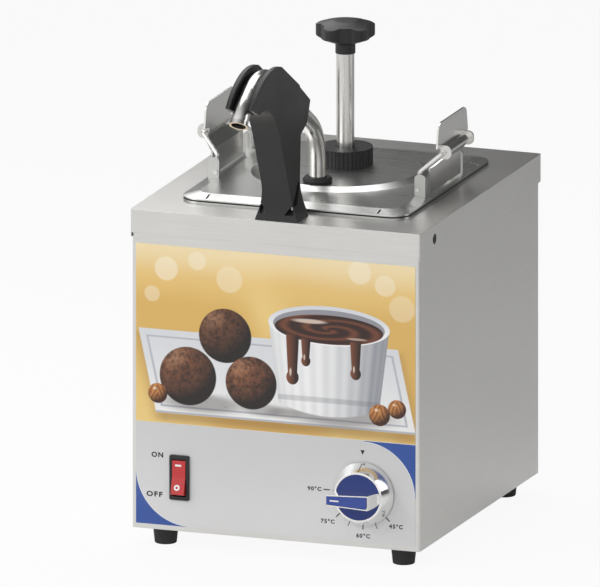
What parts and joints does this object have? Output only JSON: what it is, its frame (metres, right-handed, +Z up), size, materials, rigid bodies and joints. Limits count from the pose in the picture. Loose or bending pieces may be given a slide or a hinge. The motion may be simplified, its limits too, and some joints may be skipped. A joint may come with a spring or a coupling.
{
  "type": "sauce topping warmer",
  "caption": "Counter-top warmer with a hanging pan, a clamped lid with hand pump and curved spout tube on a holder, rocker switch and thermostat dial.",
  "frame": {"origin": "on the worktop under the feet, below the centre of the pan", "axes": "+Z up, +X to the right as seen by a person facing the controls, +Y to the back; the controls face -Y"},
  "size_m": [0.207, 0.3268, 0.3459],
  "materials": {
    "housing_steel": "brushed, satin",
    "inner_steel": "drawn, satin",
    "lid_steel": "brushed, satin",
    "polished_steel": "polished",
    "zinc_steel": "zinc plated",
    "sheath_steel": "oxidised",
    "ball_steel": "polished",
    "spring_steel": "drawn wire",
    "aluminium": "rolled",
    "copper_alloy": "satin",
    "white_ceramic": "matte",
    "grey_plastic": "moulded",
    "black_rubber": "matte",
    "black_plastic": "fine texture",
    "white_plastic": "turned",
    "printed_film": "printed film",
    "panel_film": "printed film, satin",
    "red_plastic": "translucent look, gloss",
    "blue_plastic": "gloss",
    "chrome_plate": "plated"
  },
  "bodies": {
    "housing": {"top_cover": "housing_steel", "casing": "housing_steel", "back_panel": "housing_steel", "back_panel_screws": "zinc_steel", "bottom_plate": "housing_steel", "foot_front_left": "black_rubber", "foot_front_right": "black_rubber", "foot_rear_left": "black_rubber", "foot_rear_right": "black_rubber", "foot_screws": "zinc_steel", "foot_nuts": "zinc_steel", "well": "inner_steel", "heater_plate": "aluminium", "heating_element": "sheath_steel", "clamp_bars": "zinc_steel", "studs": "zinc_steel", "stud_nuts": "zinc_steel", "safety_cutout": "white_ceramic", "thermostat": "grey_plastic", "sensor_bulb": "copper_alloy", "capillary": "copper_alloy", "bulb_clip": "zinc_steel", "terminal_block": "white_ceramic", "cord_gland": "black_plastic", "gland_nut": "black_plastic", "picture_film": "printed_film", "control_film": "panel_film", "switch_body": "black_plastic", "spout_holder": "black_plastic", "holder_screws": "zinc_steel"},
    "pan": {"pan": "inner_steel"},
    "lid": {"lid": "lid_steel", "lid_seal": "black_rubber", "lugs_left": "lid_steel", "lugs_right": "lid_steel", "pump_cylinder": "white_plastic", "rod_guide": "white_plastic", "valve_housing": "white_plastic", "outlet_seat": "white_plastic", "spout_tube": "polished_steel", "tube_grommet": "black_rubber", "return_spring": "spring_steel"},
    "collar": {"collar": "black_plastic"},
    "plunger": {"knob": "black_plastic", "plunger_rod": "polished_steel", "piston": "white_plastic", "piston_seal": "black_rubber"},
    "inlet_ball": {"inlet_ball": "ball_steel"},
    "outlet_ball": {"outlet_ball": "ball_steel"},
    "bail_right": {"bail_right": "polished_steel"},
    "bail_left": {"bail_left": "polished_steel"},
    "lever_right": {"lever_right": "polished_steel"},
    "lever_left": {"lever_left": "polished_steel"},
    "rocker": {"rocker": "red_plastic"},
    "dial": {"dial_skirt": "chrome_plate", "dial_face": "blue_plastic", "dial_grip": "chrome_plate", "dial_inlay": "blue_plastic", "dial_spindle": "zinc_steel"}
  },
  "joints": [
    {"name": "pan_lift", "type": "slide", "parent": "housing", "child": "pan", "axis": [0, 0, 1], "range_m": [0, 0.054]},
    {"name": "lid_lift", "type": "slide", "parent": "pan", "child": "lid", "axis": [0, 0, 1], "range_m": [0, 0.054]},
    {"name": "pump_stroke", "type": "slide", "parent": "lid", "child": "plunger", "axis": [0, 0, -1], "range_m": [0, 0.055], "stiffness_N_per_m": 200, "springref_m": -0.03, "deforming": ["return_spring"]},
    {"name": "collar_turn", "type": "hinge", "parent": "lid", "child": "collar", "pos_m": [0, 0.019, 0.2467], "axis": [0, 0, 1], "range_deg": [0, 90]},
    {"name": "inlet_lift", "type": "slide", "parent": "lid", "child": "inlet_ball", "axis": [0, 0, 1], "range_m": [0, 0.0025]},
    {"name": "outlet_lift", "type": "slide", "parent": "lid", "child": "outlet_ball", "axis": [0, 0, 1], "range_m": [0, 0.003]},
    {"name": "bail_right_swing", "type": "hinge", "parent": "lid", "child": "bail_right", "pos_m": [0.072, 0, 0.2417], "axis": [0, 1, 0], "range_deg": [-50, 0]},
    {"name": "bail_left_swing", "type": "hinge", "parent": "lid", "child": "bail_left", "pos_m": [-0.072, 0, 0.2417], "axis": [0, -1, 0], "range_deg": [-50, 0]},
    {"name": "lever_right_turn", "type": "hinge", "parent": "bail_right", "child": "lever_right", "pos_m": [0.0854, 0, 0.2652], "axis": [0, 1, 0], "range_deg": [-20, 60]},
    {"name": "lever_left_turn", "type": "hinge", "parent": "bail_left", "child": "lever_left", "pos_m": [-0.0854, 0, 0.2652], "axis": [0, -1, 0], "range_deg": [-20, 60]},
    {"name": "rocker_tip", "type": "hinge", "parent": "housing", "child": "rocker", "pos_m": [-0.0683, -0.1183, 0.0501], "axis": [1, 0, 0], "range_deg": [0, 18]},
    {"name": "dial_turn", "type": "hinge", "parent": "housing", "child": "dial", "pos_m": [0.0626, -0.1183, 0.0501], "axis": [0, 1, 0], "range_deg": [-270, 0]}
  ]
}
